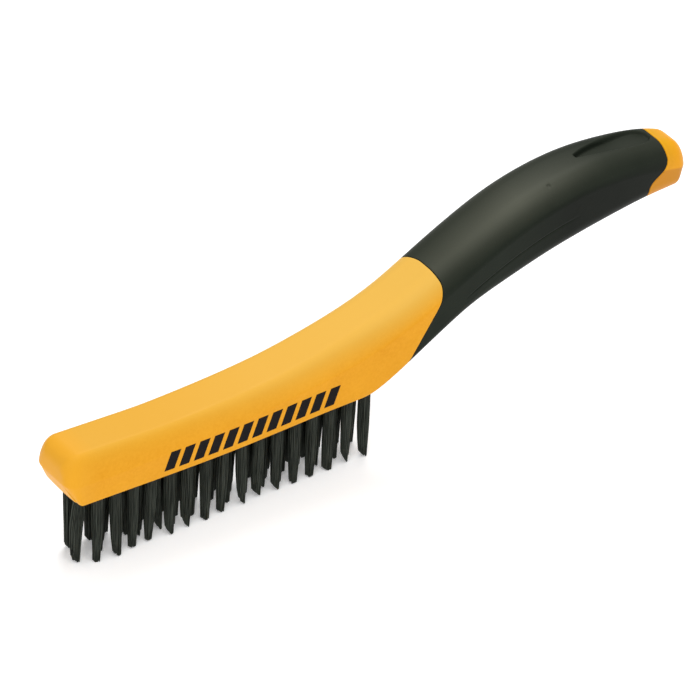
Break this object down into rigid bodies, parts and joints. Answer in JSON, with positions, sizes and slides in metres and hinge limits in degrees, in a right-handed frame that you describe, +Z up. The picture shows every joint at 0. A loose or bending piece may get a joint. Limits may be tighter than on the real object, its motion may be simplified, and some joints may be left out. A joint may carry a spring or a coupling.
{
  "type": "wire brush",
  "caption": "Hand-held steel wire scratch brush: straight bristle block with a raised, curved handle and a soft moulded grip with a thumb recess.",
  "frame": {"origin": "centre of the brush's bounding box, on the surface that the bristle tips stand on", "axes": "+X from the nose of the block to the tail of the handle, +Y across the brush, +Z up from the bristle tips"},
  "size_m": [0.255, 0.0252, 0.0883],
  "materials": {
    "yellow_plastic": "moulded yellow-orange plastic with a fine satin grain",
    "black_rubber": "soft black thermoplastic rubber, matte, slightly olive",
    "steel_wire": "oil-tempered dark carbon steel wire, satin"
  },
  "bodies": {
    "root": {"handle_core": "yellow_plastic", "rubber_grip": "black_rubber", "tufts_near_01": "steel_wire", "tufts_near_02": "steel_wire", "tufts_near_03": "steel_wire", "tufts_near_04": "steel_wire", "tufts_near_05": "steel_wire", "tufts_near_06": "steel_wire", "tufts_near_07": "steel_wire", "tufts_near_08": "steel_wire", "tufts_near_09": "steel_wire", "tufts_near_10": "steel_wire", "tufts_near_11": "steel_wire", "tufts_near_12": "steel_wire", "tufts_near_13": "steel_wire", "tufts_near_14": "steel_wire", "tufts_near_15": "steel_wire", "tufts_near_16": "steel_wire", "tufts_far_01": "steel_wire", "tufts_far_02": "steel_wire", "tufts_far_03": "steel_wire", "tufts_far_04": "steel_wire", "tufts_far_05": "steel_wire", "tufts_far_06": "steel_wire", "tufts_far_07": "steel_wire", "tufts_far_08": "steel_wire", "tufts_far_09": "steel_wire", "tufts_far_10": "steel_wire", "tufts_far_11": "steel_wire", "tufts_far_12": "steel_wire", "tufts_far_13": "steel_wire", "tufts_far_14": "steel_wire", "tufts_far_15": "steel_wire", "tufts_far_16": "steel_wire"}
  },
  "joints": []
}
